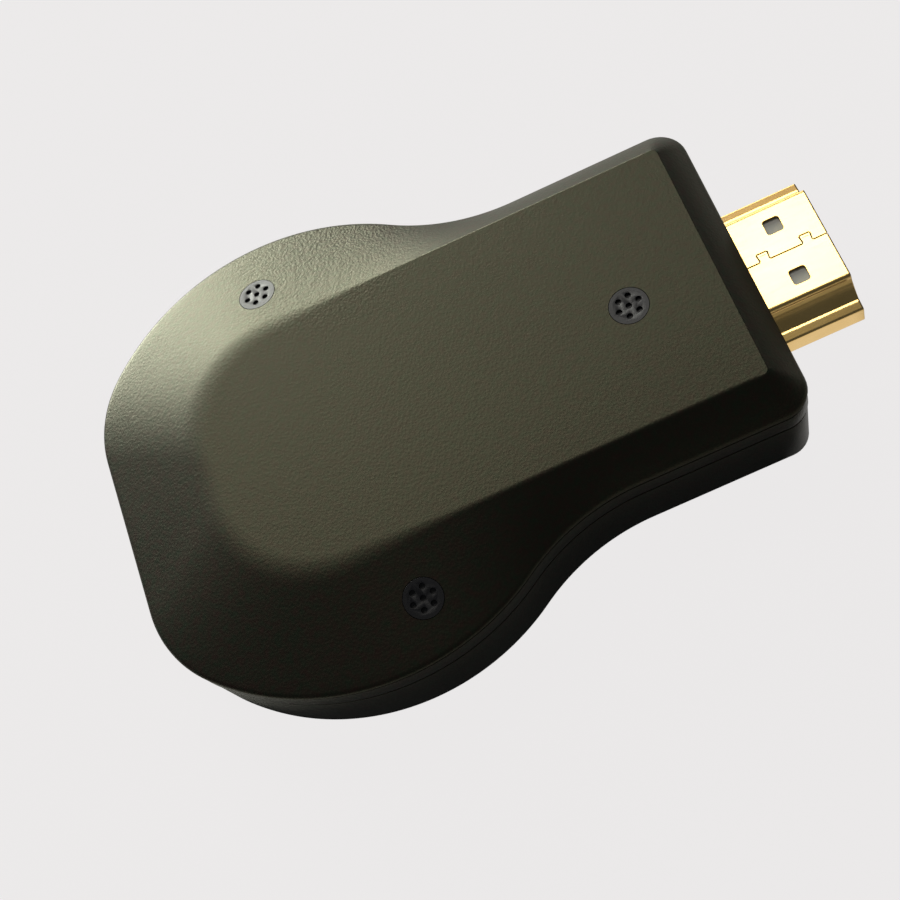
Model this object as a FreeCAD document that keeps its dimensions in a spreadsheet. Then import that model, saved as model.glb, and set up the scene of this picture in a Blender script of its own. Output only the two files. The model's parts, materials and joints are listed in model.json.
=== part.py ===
# Wireless display dongle: a keyhole-shaped plastic case with a video plug at its nose and, at the
# flat far end, a power socket, a mode button and a status lamp. Millimetres, +X towards the plug,
# +Z up, origin under the middle of the whole object, on the surface that it lies on.
import FreeCAD, Part
import math
import os
import Sketcher
from FreeCAD import Placement, Rotation, Vector

doc = FreeCAD.newDocument("display_dongle")

# Driving dimensions
DIMENSIONS = {
    # case, in plan: a round head cut by a flat, a concave neck and a straight body
    "overall_length": 65.4,
    "head_radius": 22.1,
    "flat_offset": 19.0,
    "flat_corner": 11.0,
    "body_width": 29.9,
    "neck_radius": 19.6,
    "nose_offset": 38.9,
    "nose_corner": 2.7,
    # case, in height
    "step_height": 6.7,
    "seam_height": 8.8,
    "crease_height": 9.2,
    "top_height": 11.9,
    "floor_thickness": 1.4,
    "roof_thickness": 1.3,
    "wall_inset": 2.0,
    "rebate_inset": 1.45,
    "lip_thickness": 0.7,
    "lip_depth": 1.0,
    "fit_gap": 0.1,
    "clip_depth": 0.25,
    "clip_drop": 0.85,
    "clip_height": 0.4,
    "clip_length": 4.0,
    "clip_head": -3.0,
    "clip_middle": 27.0,
    "clip_nose": 33.0,
    "band_inset": 0.12,
    "step_depth": 0.18,
    "wall_draft": 0.2,
    "bottom_chamfer": 0.5,
    "rib_setback": 1.8,
    "rib_thickness": 1.2,
    "rib_width": 18.0,
    "lip_root_inset": 1.0,
    "lip_root_rise": 0.3,
    # hollow under the roof
    "cavity_radius": 17.4,
    "cavity_width": 26.6,
    "cavity_nose_inset": 2.7,
    "roof_radius": 10.9,
    "roof_width": 22.0,
    # raised plateau of the top cover
    "plateau_width": 23.8,
    "plateau_nose": 36.3,
    "plateau_end": 10.1,
    "plateau_end_corner": 9.4,
    "plateau_nose_corner": 0.6,
    "plateau_head_end": 11.0,
    "plateau_neck_end": 22.5,
    # perforated vent discs
    "vent_diameter": 3.5,
    "vent_rim": 0.22,
    "vent_recess": 0.12,
    "vent_thickness": 0.9,
    "vent_hole": 0.55,
    "vent_ring": 0.98,
    "vent_turn": 13.0,
    "vent_far_x": -0.9,
    "vent_far_y": 16.4,
    "vent_nose_x": 28.5,
    "vent_nose_y": -1.1,
    "vent_near_x": 3.7,
    "vent_near_y": -17.2,
    # circuit board
    "board_bottom": 4.8,
    "board_thickness": 1.0,
    "board_inset": 2.6,
    "notch_depth": 2.0,
    "notch_width": 14.2,
    "boss_diameter": 4.0,
    "boss_rear": -8.5,
    "boss_rear_side": 14.0,
    "boss_front": 24.0,
    "boss_front_side": 10.4,
    "screw_diameter": 1.4,
    "screw_length": 2.4,
    "screw_hole": 1.8,
    "screw_head_diameter": 3.0,
    "screw_head_thickness": 0.8,
    "screw_top_diameter": 2.1,
    "screw_edge_thickness": 0.36,
    "cross_length": 1.6,
    "cross_width": 0.35,
    # video plug
    "plug_wide": 13.9,
    "plug_narrow": 9.4,
    "plug_thickness": 4.45,
    "plug_bottom": 3.05,
    "plug_shelf": 2.3,
    "plug_waist": 10.3,
    "plug_sheet": 0.3,
    "plug_length": 11.8,
    "plug_corner": 0.35,
    "latch_window": 1.45,
    "latch_spacing": 5.4,
    "latch_setback": 3.75,
    "slot_width": 10.6,
    "slot_thickness": 1.9,
    "slot_depth": 7.0,
    "contact_width": 0.35,
    "contact_thickness": 0.16,
    "contact_pitch": 1.0,
    "contact_setback": 1.2,
    "contact_knee": 0.8,
    "contact_slope": 0.6,
    "contact_bend": 0.1,
    "contact_tail": 2.0,
    "core_setback": 0.4,
    # power socket at the far end
    "socket_width": 7.6,
    "socket_thickness": 2.6,
    "socket_depth": 5.2,
    "socket_offset": 1.2,
    "socket_sheet": 0.3,
    "socket_setback": 0.5,
    "socket_chamfer": 0.9,
    "socket_insert": 1.4,
    "tongue_width": 3.7,
    "tongue_thickness": 0.6,
    "tongue_drop": 0.45,
    "tongue_setback": 0.5,
    "feed_setback": 0.8,
    "feed_pitch": 0.65,
    "feed_width": 0.3,
    "feed_thickness": 0.12,
    # mode button, its switch and the status lamp
    "button_offset": 5.4,
    "button_width": 3.3,
    "button_thickness": 1.6,
    "button_gap": 0.15,
    "button_travel": 0.25,
    "button_setback": 0.25,
    "button_fillet": 0.3,
    "flange_thickness": 0.55,
    "flange_margin": 0.5,
    "flange_drop": 0.25,
    "flange_rise": 0.15,
    "switch_drop": 0.95,
    "plunger_length": 0.8,
    "plunger_width": 1.6,
    "plunger_thickness": 1.0,
    "switch_length": 2.6,
    "switch_width": 4.2,
    "switch_foot": 0.85,
    "switch_bore_depth": 1.2,
    "switch_bore_width": 1.9,
    "switch_bore_height": 1.2,
    "lamp_offset": 6.8,
    "lamp_gap": 0.8,
    "lamp_thickness": 0.6,
    "lamp_width": 1.6,
    "lamp_rise": 1.0,
    "guide_diameter": 1.5,
    "guide_setback": 0.5,
    "guide_reach": 0.4,
    # chips and other parts on the board
    "chip_thickness": 0.9,
    "memory_length": 9.0,
    "memory_width": 7.5,
    "flash_length": 10.0,
    "flash_width": 12.0,
    "radio_board_length": 12.0,
    "radio_board_width": 14.0,
    "radio_board_thickness": 0.6,
    "shield_length": 10.5,
    "shield_width": 12.0,
    "shield_height": 1.4,
    "antenna_length": 6.5,
    "antenna_width": 2.2,
    "crystal_length": 3.2,
    "crystal_width": 2.5,
    "crystal_height": 0.7,
    "regulator_size": 3.0,
    "regulator_height": 0.8,
    "inductor_size": 4.0,
    "inductor_height": 1.8,
    "small_length": 0.6,
    "small_width": 1.0,
    "capacitor_height": 0.5,
    "resistor_height": 0.35,
    # heat path
    "processor_size": 13.0,
    "processor_thickness": 1.1,
    "pad_thickness": 1.2,
    "spreader_length": 28.0,
    "spreader_width": 19.0,
    "spreader_thickness": 0.8,
    "spreader_start": -8.0,
    "spreader_corner": 2.0,
    "post_width": 2.4,
    "post_rear": -6.0,
    "post_front": 18.0,
    "post_side": 8.0,
    "pin_diameter": 1.4,
    "pin_reach": 0.3,
}

sheet = doc.addObject("Spreadsheet::Sheet", "dimensions")
for row, (alias, value) in enumerate(DIMENSIONS.items(), start=1):
    sheet.set(f"A{row}", alias)
    sheet.set(f"B{row}", str(value))
    sheet.setAlias(f"B{row}", alias)
doc.recompute()


def size(alias):
    """The value of one driving dimension."""
    return float(sheet.get(alias))


# Places that several pieces share
HEAD_X = size("flat_offset") - size("overall_length") / 2
NOSE_X = HEAD_X + size("nose_offset")
FLAT_X = HEAD_X - size("flat_offset")
TIP_X = size("overall_length") / 2
BOARD_TOP = size("board_bottom") + size("board_thickness")
ROOF_Z = size("top_height") - size("roof_thickness")
PLUG_TOP = size("plug_bottom") + size("plug_thickness")
NOTCH_X = NOSE_X - size("board_inset") - size("notch_depth")
LEDGE_Z = size("seam_height") - size("lip_depth") - size("fit_gap")
SWITCH_Z = size("board_bottom") - size("switch_drop")
LAMP_Z = size("board_bottom") - size("guide_diameter") / 2
SPREADER_Z = BOARD_TOP + size("processor_thickness") + size("pad_thickness")
BODY_HALF = size("body_width") / 2
BOSS_REAR = (HEAD_X + size("boss_rear"), size("boss_rear_side"))
BOSS_FRONT = (HEAD_X + size("boss_front"), -size("boss_front_side"))
SCREW_PLACES = (BOSS_REAR, BOSS_FRONT)
REST_PLACES = ((BOSS_REAR[0], -BOSS_REAR[1]), (BOSS_FRONT[0], -BOSS_FRONT[1]))
CLIP_PLACES = [HEAD_X + size(alias) for alias in ("clip_head", "clip_middle", "clip_nose")]
POST_SIDE = size("post_side")
PIN_PLACES = [(HEAD_X + size("post_rear"), -POST_SIDE), (HEAD_X + size("post_front"), POST_SIDE)]
POST_PLACES = PIN_PLACES + [(x, -y) for x, y in PIN_PLACES]
CONTACT_COUNTS = {1: 9, -1: 10}
FEED_COUNT = 5
VENTS = ("far", "nose", "near")

# How far fused solids reach into each other, cutting shapes past a face, and the least corner radius
OVERLAP = 0.2
CLEAR = 1.0
LEAST_CORNER = 0.3

# Centres of the outline's arcs: they stay where they are when the outline moves inwards
CORNER_CENTRE = (FLAT_X + size("flat_corner"),
                 math.sqrt((size("head_radius") - size("flat_corner")) ** 2
                           - (size("flat_offset") - size("flat_corner")) ** 2))
CORNER_ANGLE = math.degrees(math.atan2(CORNER_CENTRE[1], CORNER_CENTRE[0] - HEAD_X))
NECK_CENTRE = (HEAD_X + math.sqrt((size("head_radius") + size("neck_radius")) ** 2
                                  - (BODY_HALF + size("neck_radius")) ** 2),
               BODY_HALF + size("neck_radius"))
NECK_ANGLE = math.degrees(math.atan2(NECK_CENTRE[1], NECK_CENTRE[0] - HEAD_X))

sub_parts = []


def finished(item, label, placement=None):
    """Name a finished sub-part, place it and keep it for the export."""
    item.Label = label
    if placement is not None:
        item.Placement = placement
    sub_parts.append(item)
    return item


def feature(label, shape, placement=None):
    """A sub-part whose shape is worked out from the sheet in code."""
    item = doc.addObject("Part::Feature", label)
    item.Shape = shape
    return finished(item, label, placement or Placement())


# Outlines of the case
def arc(centre, radius, start, end, height):
    """An arc about a centre from one angle to another, in degrees."""
    points = []
    for angle in (start, (start + end) / 2, end):
        turn = math.radians(angle)
        reach = Vector(math.cos(turn), math.sin(turn), 0) * radius
        points.append(Vector(centre[0], centre[1], height) + reach)
    return Part.Arc(*points).toShape()


def line(start, end, height):
    return Part.LineSegment(Vector(*start, height), Vector(*end, height)).toShape()


def mirrored_loop(upper, end_line, nose_line):
    """Close a loop from its upper half, which runs from the far end to the nose."""
    lower = [edge.mirror(Vector(0, 0, 0), Vector(0, 1, 0)) for edge in reversed(upper)]
    return Part.Wire(Part.__sortEdges__([end_line] + upper + [nose_line] + lower))


def keyhole(inset, height):
    """The case's outline, moved inwards by an inset: flat, corner, head, neck, side and nose corner."""
    flat = FLAT_X + inset
    head = size("head_radius") - inset
    half = BODY_HALF - inset
    nose = NOSE_X - inset
    nose_corner = max(size("nose_corner") - inset, LEAST_CORNER)
    upper = [
        arc(CORNER_CENTRE, size("flat_corner") - inset, 180, CORNER_ANGLE, height),
        arc((HEAD_X, 0), head, CORNER_ANGLE, 90, height),
        arc((HEAD_X, 0), head, 90, NECK_ANGLE, height),
        arc(NECK_CENTRE, size("neck_radius") + inset, NECK_ANGLE + 180, 270, height),
        line((NECK_CENTRE[0], half), (nose - nose_corner, half), height),
        arc((nose - nose_corner, half - nose_corner), nose_corner, 90, 0, height),
    ]
    end_line = line((flat, -CORNER_CENTRE[1]), (flat, CORNER_CENTRE[1]), height)
    nose_line = line((nose, half - nose_corner), (nose, nose_corner - half), height)
    return mirrored_loop(upper, end_line, nose_line)


def plateau(height):
    """The raised plateau's outline, with one edge for each edge of the case's outline."""
    half = size("plateau_width") / 2
    end = HEAD_X - size("plateau_end")
    nose = HEAD_X + size("plateau_nose")
    corner = size("plateau_end_corner")
    nose_corner = size("plateau_nose_corner")
    middle = (end + corner, half - corner)
    head_end = HEAD_X + size("plateau_head_end")
    neck_end = HEAD_X + size("plateau_neck_end")
    upper = [
        arc(middle, corner, 180, CORNER_ANGLE, height),
        arc(middle, corner, CORNER_ANGLE, 90, height),
        line((middle[0], half), (head_end, half), height),
        line((head_end, half), (neck_end, half), height),
        line((neck_end, half), (nose - nose_corner, half), height),
        arc((nose - nose_corner, half - nose_corner), nose_corner, 90, 0, height),
    ]
    end_line = line((end, -middle[1]), (end, middle[1]), height)
    nose_line = line((nose, half - nose_corner), (nose, nose_corner - half), height)
    return mirrored_loop(upper, end_line, nose_line)


def prism(wire, rise):
    return Part.Face(wire).extrude(Vector(0, 0, rise))


def loft(low, high):
    """A solid between two outlines, with straight sides from edge to edge."""
    return Part.makeLoft([low, high], True, True)


def box(x_range, y_range, z_range):
    """A box between two values on each axis."""
    corner = Vector(x_range[0], y_range[0], z_range[0])
    return Part.makeBox(x_range[1] - x_range[0], y_range[1] - y_range[0], z_range[1] - z_range[0], corner)


def spread(middle, width):
    """The two ends of a width about a middle."""
    return middle - width / 2, middle + width / 2


def upright(place, diameter, bottom, top):
    """An upright cylinder."""
    return Part.makeCylinder(diameter / 2, top - bottom, Vector(place[0], place[1], bottom))


def post(place, width, bottom, top):
    """An upright square post."""
    half = width / 2
    return box((place[0] - half, place[0] + half), (place[1] - half, place[1] + half), (bottom, top))


def ring(outer_inset, inner_inset, bottom, top):
    """A band that follows the case's outline."""
    rise = top - bottom
    return prism(keyhole(outer_inset, bottom), rise).cut(prism(keyhole(inner_inset, bottom), rise))


def clips(depth, gap):
    """The snap clips that stand out of the lip, or with a gap, the grooves that they snap into."""
    outer = size("rebate_inset") - depth - gap
    inner = size("rebate_inset") + size("fit_gap") + OVERLAP - gap
    bottom = size("seam_height") - size("clip_drop") - gap
    top = bottom + size("clip_height") + 2 * gap
    band = ring(outer, inner, bottom, top)
    half = size("clip_length") / 2 + gap
    reach = size("head_radius")
    pieces = []
    for x in CLIP_PLACES:
        for sides in ((-reach, -CLEAR), (CLEAR, reach)):
            pieces.append(band.common(box((x - half, x + half), sides, (bottom - CLEAR, top + CLEAR))))
    return pieces[0].multiFuse(pieces[1:])


# Bottom cover
def bottom_cover_shape():
    seam = size("seam_height")
    step = size("step_height")
    chamfer = size("bottom_chamfer")
    wall = size("band_inset") + size("step_depth")
    foot = wall + size("wall_draft")
    outer = loft(keyhole(foot + chamfer, 0), keyhole(foot, chamfer))
    outer = outer.fuse(loft(keyhole(foot, chamfer), keyhole(wall, step)))
    outer = outer.fuse(prism(keyhole(size("band_inset"), step), seam - step))
    floor = size("floor_thickness")
    cavity = prism(keyhole(size("wall_inset"), floor), seam - floor)
    cavity = cavity.fuse(prism(keyhole(size("rebate_inset"), LEDGE_Z), seam - LEDGE_Z))
    shell = outer.cut(cavity).cut(clips(size("clip_depth"), size("fit_gap")))
    for place in SCREW_PLACES:
        shell = shell.fuse(upright(place, size("boss_diameter"), floor - OVERLAP, size("board_bottom")))
        pilot = size("screw_diameter") + size("fit_gap")
        shell = shell.cut(upright(place, pilot, floor, size("board_bottom")))
    for place in REST_PLACES:
        shell = shell.fuse(post(place, size("post_width"), floor - OVERLAP, size("board_bottom")))
    # a rib that carries the plug, and the slot that the plug passes through
    rib_x = NOSE_X - size("wall_inset") - size("rib_setback")
    rib_half = size("rib_width") / 2
    rib_z = (floor - OVERLAP, size("plug_bottom"))
    shell = shell.fuse(box((rib_x, rib_x + size("rib_thickness")), (-rib_half, rib_half), rib_z))
    plug_half = size("plug_wide") / 2 + size("fit_gap")
    slot_x = (NOSE_X - size("wall_inset") - CLEAR, NOSE_X + CLEAR)
    shell = shell.cut(box(slot_x, (-plug_half, plug_half), (size("plug_bottom"), seam)))
    # the windows in the far end: socket, button and lamp
    end_x = (FLAT_X - CLEAR, FLAT_X + size("wall_inset") + CLEAR / 2)
    socket_half = size("socket_width") / 2 + size("fit_gap")
    socket_y = -size("socket_offset")
    window_z = (size("board_bottom") - size("socket_thickness") - size("fit_gap"), size("board_bottom"))
    shell = shell.cut(box(end_x, (socket_y - socket_half, socket_y + socket_half), window_z))
    button_half = size("button_width") / 2 + size("button_gap")
    button_y = (size("button_offset") - button_half, size("button_offset") + button_half)
    rise = size("button_thickness") / 2 + size("button_gap")
    shell = shell.cut(box(end_x, button_y, (SWITCH_Z - rise, SWITCH_Z + rise)))
    return shell.cut(along_x(end_x, (-size("lamp_offset"), LAMP_Z), size("guide_diameter")))


def along_x(x_range, centre, diameter):
    """A cylinder along X about a place in Y and Z."""
    start = Vector(x_range[0], centre[0], centre[1])
    return Part.makeCylinder(diameter / 2, x_range[1] - x_range[0], start, Vector(1, 0, 0))


# Top cover
def top_cover_outer():
    crease = size("crease_height")
    seam = size("seam_height")
    skirt = prism(keyhole(0, seam), crease - seam)
    return skirt.fuse(loft(keyhole(0, crease), plateau(size("top_height"))))


def roof_cavity():
    """The hollow under the roof: a cone in the round head and a straight trough to the nose."""
    bottom = size("seam_height") - OVERLAP
    rise = ROOF_Z - bottom
    cone = Part.makeCone(size("cavity_radius"), size("roof_radius"), rise, Vector(HEAD_X, 0, bottom))
    low, high = size("cavity_width") / 2, size("roof_width") / 2
    corners = [(-low, bottom), (low, bottom), (high, ROOF_Z), (-high, ROOF_Z), (-low, bottom)]
    section = Part.Face(Part.makePolygon([Vector(HEAD_X, y, z) for y, z in corners]))
    length = NOSE_X - size("cavity_nose_inset") - HEAD_X
    return cone.fuse(section.extrude(Vector(length, 0, 0)))


def top_cover_shape(outer):
    seam = size("seam_height")
    shell = outer.cut(roof_cavity())
    lip = size("rebate_inset") + size("fit_gap")
    lip_inner = lip + size("lip_thickness")
    lip_root = seam + size("lip_root_rise")
    shell = shell.fuse(ring(lip, lip_inner, seam - size("lip_depth"), seam))
    shell = shell.fuse(ring(size("lip_root_inset"), lip_inner, seam, lip_root))
    shell = shell.fuse(clips(size("clip_depth"), 0.0))
    # the tab that fills the slot above and beside the plug
    tab_half = size("plug_wide") / 2
    tab_x = (NOSE_X - size("wall_inset") - size("lip_thickness"), NOSE_X - size("band_inset"))
    tab_z = (size("plug_bottom") + size("plug_shelf") + size("fit_gap"), lip_root)
    tab = box(tab_x, (-tab_half, tab_half), tab_z)
    shell = shell.fuse(tab.cut(plug_prism(-size("fit_gap") / 2, tab_x)))
    # posts for the heat spreader, two of them with a pin through it
    top = SPREADER_Z + size("spreader_thickness")
    for place in POST_PLACES:
        shell = shell.fuse(post(place, size("post_width"), top, ROOF_Z + OVERLAP))
    for place in PIN_PLACES:
        shell = shell.fuse(upright(place, size("pin_diameter"), SPREADER_Z - size("pin_reach"), top))
    for side in VENTS:
        point, normal = on_cover(outer, side)
        depth = size("top_height") - size("seam_height")
        bore = Part.makeCylinder(size("vent_diameter") / 2, 2 * depth, point - normal * depth, normal)
        shell = shell.cut(bore)
    return shell.removeSplitter()


def on_cover(outer, side):
    """The middle of a vent on the cover's outside, and the outward normal there."""
    x, y = HEAD_X + size(f"vent_{side}_x"), size(f"vent_{side}_y")
    needle = Part.makeLine(Vector(x, y, 0), Vector(x, y, 2 * size("top_height")))
    point = max((vertex.Point for vertex in outer.common(needle).Vertexes), key=lambda at: at.z)
    face = min(outer.Faces, key=lambda surface: surface.distToShape(Part.Vertex(point))[0])
    normal = face.normalAt(*face.Surface.parameter(point))
    return point, normal if normal.z > 0 else normal * -1


# Pieces drawn as sketches and padded
def origin_plane(body, role):
    return next(item for item in body.Origin.OriginFeatures if item.Role == role)


def new_sketch(body, name, role="XY_Plane", offset=0.0):
    """A sketch on one of a body's own origin planes."""
    sketch = body.newObject("Sketcher::SketchObject", name)
    sketch.AttachmentSupport = [(origin_plane(body, role), "")]
    sketch.MapMode = "FlatFace"
    sketch.AttachmentOffset = Placement(Vector(0, 0, offset), Rotation())
    return sketch


def add_rectangle(sketch, length, width):
    """A rectangle about the sketch's origin, its sides bound to expressions."""
    corners = [(-1, -1), (1, -1), (1, 1), (-1, 1)]
    for number in range(4):
        start, end = corners[number], corners[(number + 1) % 4]
        sketch.addGeometry(Part.LineSegment(Vector(*start, 0), Vector(*end, 0)))
    for number in range(4):
        sketch.addConstraint(Sketcher.Constraint("Coincident", number, 2, (number + 1) % 4, 1))
        sketch.addConstraint(Sketcher.Constraint(("Horizontal", "Vertical")[number % 2], number))
    sketch.addConstraint(Sketcher.Constraint("Symmetric", 0, 1, 1, 2, -1, 1))
    across = sketch.addConstraint(Sketcher.Constraint("DistanceX", 0, 1, 0, 2, 2.0))
    sketch.setExpression(f"Constraints[{across}]", length)
    along = sketch.addConstraint(Sketcher.Constraint("DistanceY", 1, 1, 1, 2, 2.0))
    sketch.setExpression(f"Constraints[{along}]", width)


def add_circle(sketch, diameter, offset=None):
    """A circle at the sketch's origin, or at an offset along its first axis."""
    number = sketch.addGeometry(Part.Circle(Vector(0.5 if offset else 0, 0, 0), Vector(0, 0, 1), 0.5))
    if offset:
        sketch.addConstraint(Sketcher.Constraint("PointOnObject", number, 3, -1))
        away = sketch.addConstraint(Sketcher.Constraint("DistanceX", -1, 1, number, 3, 0.5))
        sketch.setExpression(f"Constraints[{away}]", offset)
    else:
        sketch.addConstraint(Sketcher.Constraint("Coincident", number, 3, -1, 1))
    across = sketch.addConstraint(Sketcher.Constraint("Diameter", number, 1.0))
    sketch.setExpression(f"Constraints[{across}]", diameter)


def add_octagon(sketch, diameter, offset=None):
    """A regular octagon inside a construction circle, at the origin or at an offset along the first axis."""
    add_circle(sketch, f"dimensions.{diameter}", offset and f"dimensions.{offset}")
    sketch.toggleConstruction(0)
    doc.recompute()
    middle = sketch.Geometry[0].Center
    radius = size(diameter) / 2
    turns = [math.radians(22.5 + 45 * number) for number in range(8)]
    corners = [middle + Vector(math.cos(turn), math.sin(turn), 0) * radius for turn in turns]
    sides = [sketch.addGeometry(Part.LineSegment(corners[n], corners[(n + 1) % 8])) for n in range(8)]
    for number, side in enumerate(sides):
        sketch.addConstraint(Sketcher.Constraint("Coincident", side, 2, sides[(number + 1) % 8], 1))
        sketch.addConstraint(Sketcher.Constraint("PointOnObject", side, 1, 0))
    for side in sides[1:]:
        sketch.addConstraint(Sketcher.Constraint("Equal", sides[0], side))
    sketch.addConstraint(Sketcher.Constraint("Horizontal", sides[1]))


def pad(body, sketch, length, backwards=False):
    """Pad a sketch by an expression."""
    item = body.newObject("PartDesign::Pad", "Pad")
    item.Profile = sketch
    item.setExpression("Length", length)
    item.Reversed = backwards
    sketch.Visibility = False
    doc.recompute()
    return item


def pocket(body, sketch, length, backwards=False):
    """Pocket a sketch by an expression; the body has to lose volume by it."""
    before = body.Shape.Volume
    item = body.newObject("PartDesign::Pocket", "Pocket")
    item.Profile = sketch
    item.setExpression("Length", length)
    item.Reversed = backwards
    sketch.Visibility = False
    doc.recompute()
    if body.Shape.Volume >= before:
        raise ValueError(f"a pocket of {body.Label} cuts nothing")
    return item


def block(label, centre, bottom, length, width, rise, bevel=None):
    """A rectangular piece such as a chip, its sizes given as expressions, with a bevelled top."""
    body = doc.addObject("PartDesign::Body", label)
    sketch = new_sketch(body, "Outline")
    add_rectangle(sketch, length, width)
    base = pad(body, sketch, rise)
    if bevel:
        top = f"Face{1 + max(range(len(base.Shape.Faces)), key=lambda n: base.Shape.Faces[n].CenterOfMass.z)}"
        item = body.newObject("PartDesign::Chamfer", "Bevel")
        item.Base = (base, [top])
        item.Size = bevel
    return finished(body, label, Placement(Vector(centre[0], centre[1], bottom), Rotation()))


def vent_disc(side, outer):
    """A vent disc: a shallow dish with a raised rim and seven small holes, square to the cover under it."""
    label = f"vent_disc_{side}"
    body = doc.addObject("PartDesign::Body", label)
    disc = new_sketch(body, "Disc")
    add_circle(disc, "dimensions.vent_diameter")
    pad(body, disc, "dimensions.vent_thickness", backwards=True)
    dish = new_sketch(body, "Dish")
    add_circle(dish, "dimensions.vent_diameter - 2 * dimensions.vent_rim")
    pocket(body, dish, "dimensions.vent_recess")
    centre_hole = new_sketch(body, "CentreHole")
    add_octagon(centre_hole, "vent_hole")
    pocket(body, centre_hole, "dimensions.vent_thickness")
    ring_hole = new_sketch(body, "RingHole")
    add_octagon(ring_hole, "vent_hole", "vent_ring")
    hole = pocket(body, ring_hole, "dimensions.vent_thickness")
    pattern = body.newObject("PartDesign::PolarPattern", "HoleRing")
    pattern.Originals = [hole]
    pattern.Axis = (ring_hole, ["N_Axis"])
    pattern.Angle = 360
    pattern.Occurrences = 6
    body.Tip = pattern
    point, normal = on_cover(outer, side)
    turn = Rotation(Vector(0, 0, 1), size("vent_turn"))
    return finished(body, label, Placement(point, Rotation(Vector(0, 0, 1), normal).multiply(turn)))


def screw(label, place):
    """A pan-head screw with a cross recess, turned about its own axis."""
    body = doc.addObject("PartDesign::Body", label)
    sketch = new_sketch(body, "HalfSection", "XZ_Plane")
    head = size("screw_head_diameter") / 2
    head_top = size("screw_head_thickness")
    shank = size("screw_diameter") / 2
    tip = -size("board_thickness") - size("screw_length")
    points = [
        (0, head_top), (size("screw_top_diameter") / 2, head_top), (head, size("screw_edge_thickness")),
        (head, 0), (shank, 0), (shank, tip), (0, tip),
    ]
    for start, end in zip(points, points[1:] + points[:1]):
        sketch.addGeometry(Part.LineSegment(Vector(*start, 0), Vector(*end, 0)))
    for number in range(len(points)):
        sketch.addConstraint(Sketcher.Constraint("Coincident", number, 2, (number + 1) % len(points), 1))
    turned = body.newObject("PartDesign::Revolution", "Turned")
    turned.Profile = sketch
    turned.ReferenceAxis = (sketch, ["V_Axis"])
    turned.Angle = 360
    doc.recompute()
    sides = ["dimensions.cross_length", "dimensions.cross_width"]
    for length, width in (sides, sides[::-1]):
        cross = new_sketch(body, "Cross", offset=head_top)
        add_rectangle(cross, length, width)
        pocket(body, cross, "dimensions.screw_head_thickness / 2")
    return finished(body, label, Placement(Vector(place[0], place[1], BOARD_TOP), Rotation()))


# Circuit board
def board_shape():
    bottom = size("board_bottom")
    board = prism(keyhole(size("board_inset"), bottom), size("board_thickness"))
    half = size("notch_width") / 2
    board = board.cut(box((NOTCH_X, NOSE_X), (-half, half), (bottom, BOARD_TOP)))
    for place in SCREW_PLACES:
        board = board.cut(upright(place, size("screw_hole"), bottom, BOARD_TOP))
    return board


# Video plug
def plug_wire(inset, start):
    """The plug's section across X: wide below, a shelf, a waist and a narrower flat top."""
    bottom = size("plug_bottom") + inset
    top = PLUG_TOP - inset
    shelf = size("plug_bottom") + size("plug_shelf") - inset
    wide = size("plug_wide") / 2 - inset
    waist = size("plug_waist") / 2 - inset
    narrow = size("plug_narrow") / 2 - inset
    corner = max(size("plug_corner") - inset, 0.08)
    half = [
        (wide - corner, bottom), (wide, bottom + corner), (wide, shelf - corner), (wide - corner, shelf),
        (waist + 0.5, shelf + 0.1), (waist, shelf + 0.6), (narrow, top - corner), (narrow - corner, top),
    ]
    points = [Vector(start, y, z) for y, z in half] + [Vector(start, -y, z) for y, z in reversed(half)]
    return Part.makePolygon(points + points[:1])


def plug_prism(inset, x_range):
    return Part.Face(plug_wire(inset, x_range[0])).extrude(Vector(x_range[1] - x_range[0], 0, 0))


def plug_shell_shape():
    """The plug's folded sheet, with its two latch windows."""
    rear = TIP_X - size("plug_length")
    sheet_metal = size("plug_sheet")
    shell = plug_prism(0, (rear, TIP_X)).cut(plug_prism(sheet_metal, (rear, TIP_X)))
    half = size("latch_window") / 2
    for side in (-1, 1):
        centre = side * size("latch_spacing") / 2
        middle = TIP_X - size("latch_setback")
        window_z = (PLUG_TOP - CLEAR, PLUG_TOP)
        shell = shell.cut(box(spread(middle, 2 * half), spread(centre, 2 * half), window_z))
    return shell


def plug_core_shape():
    """The plastic body inside the plug, with the slot that takes the other half."""
    rear = TIP_X - size("plug_length")
    front = TIP_X - size("core_setback")
    core = plug_prism(size("plug_sheet"), (rear, front))
    middle = size("board_bottom") + size("board_thickness") / 2
    rise = size("slot_thickness") / 2
    half = size("slot_width") / 2
    core = core.cut(box((front - size("slot_depth"), front), (-half, half), (middle - rise, middle + rise)))
    for side, count in CONTACT_COUNTS.items():
        row = (count - 1) * size("contact_pitch") + size("contact_width")
        core = core.cut(contact_strip(side, spread(0, row)))
    return core


def contact_strip(side, y_range):
    """A contact's leaf: a blade along the slot's wall and a tail on the board; side is 1 above, -1 below."""
    middle = size("board_bottom") + size("board_thickness") / 2
    leaf = size("contact_thickness")
    blade = middle + side * (size("slot_thickness") / 2)
    tail = middle + side * (size("board_thickness") / 2 + leaf)
    front = TIP_X - size("contact_setback")
    knee = TIP_X - size("plug_length") + size("contact_knee")
    foot = knee - size("contact_slope")
    end = NOTCH_X - size("contact_tail")
    bend = size("contact_bend")
    points = [
        (front, blade), (front, blade - side * leaf), (knee, blade - side * leaf),
        (foot, tail - side * leaf), (end, tail - side * leaf), (end, tail), (foot - bend, tail),
        (knee - bend, blade),
    ]
    loop = [Vector(x, y_range[0], z) for x, z in points]
    return Part.Face(Part.makePolygon(loop + loop[:1])).extrude(Vector(0, y_range[1] - y_range[0], 0))


def contact_row(label, side):
    count = CONTACT_COUNTS[side]
    middles = [(number - (count - 1) / 2) * size("contact_pitch") for number in range(count)]
    strips = [contact_strip(side, spread(middle, size("contact_width"))) for middle in middles]
    return feature(label, Part.makeCompound(strips))


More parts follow.
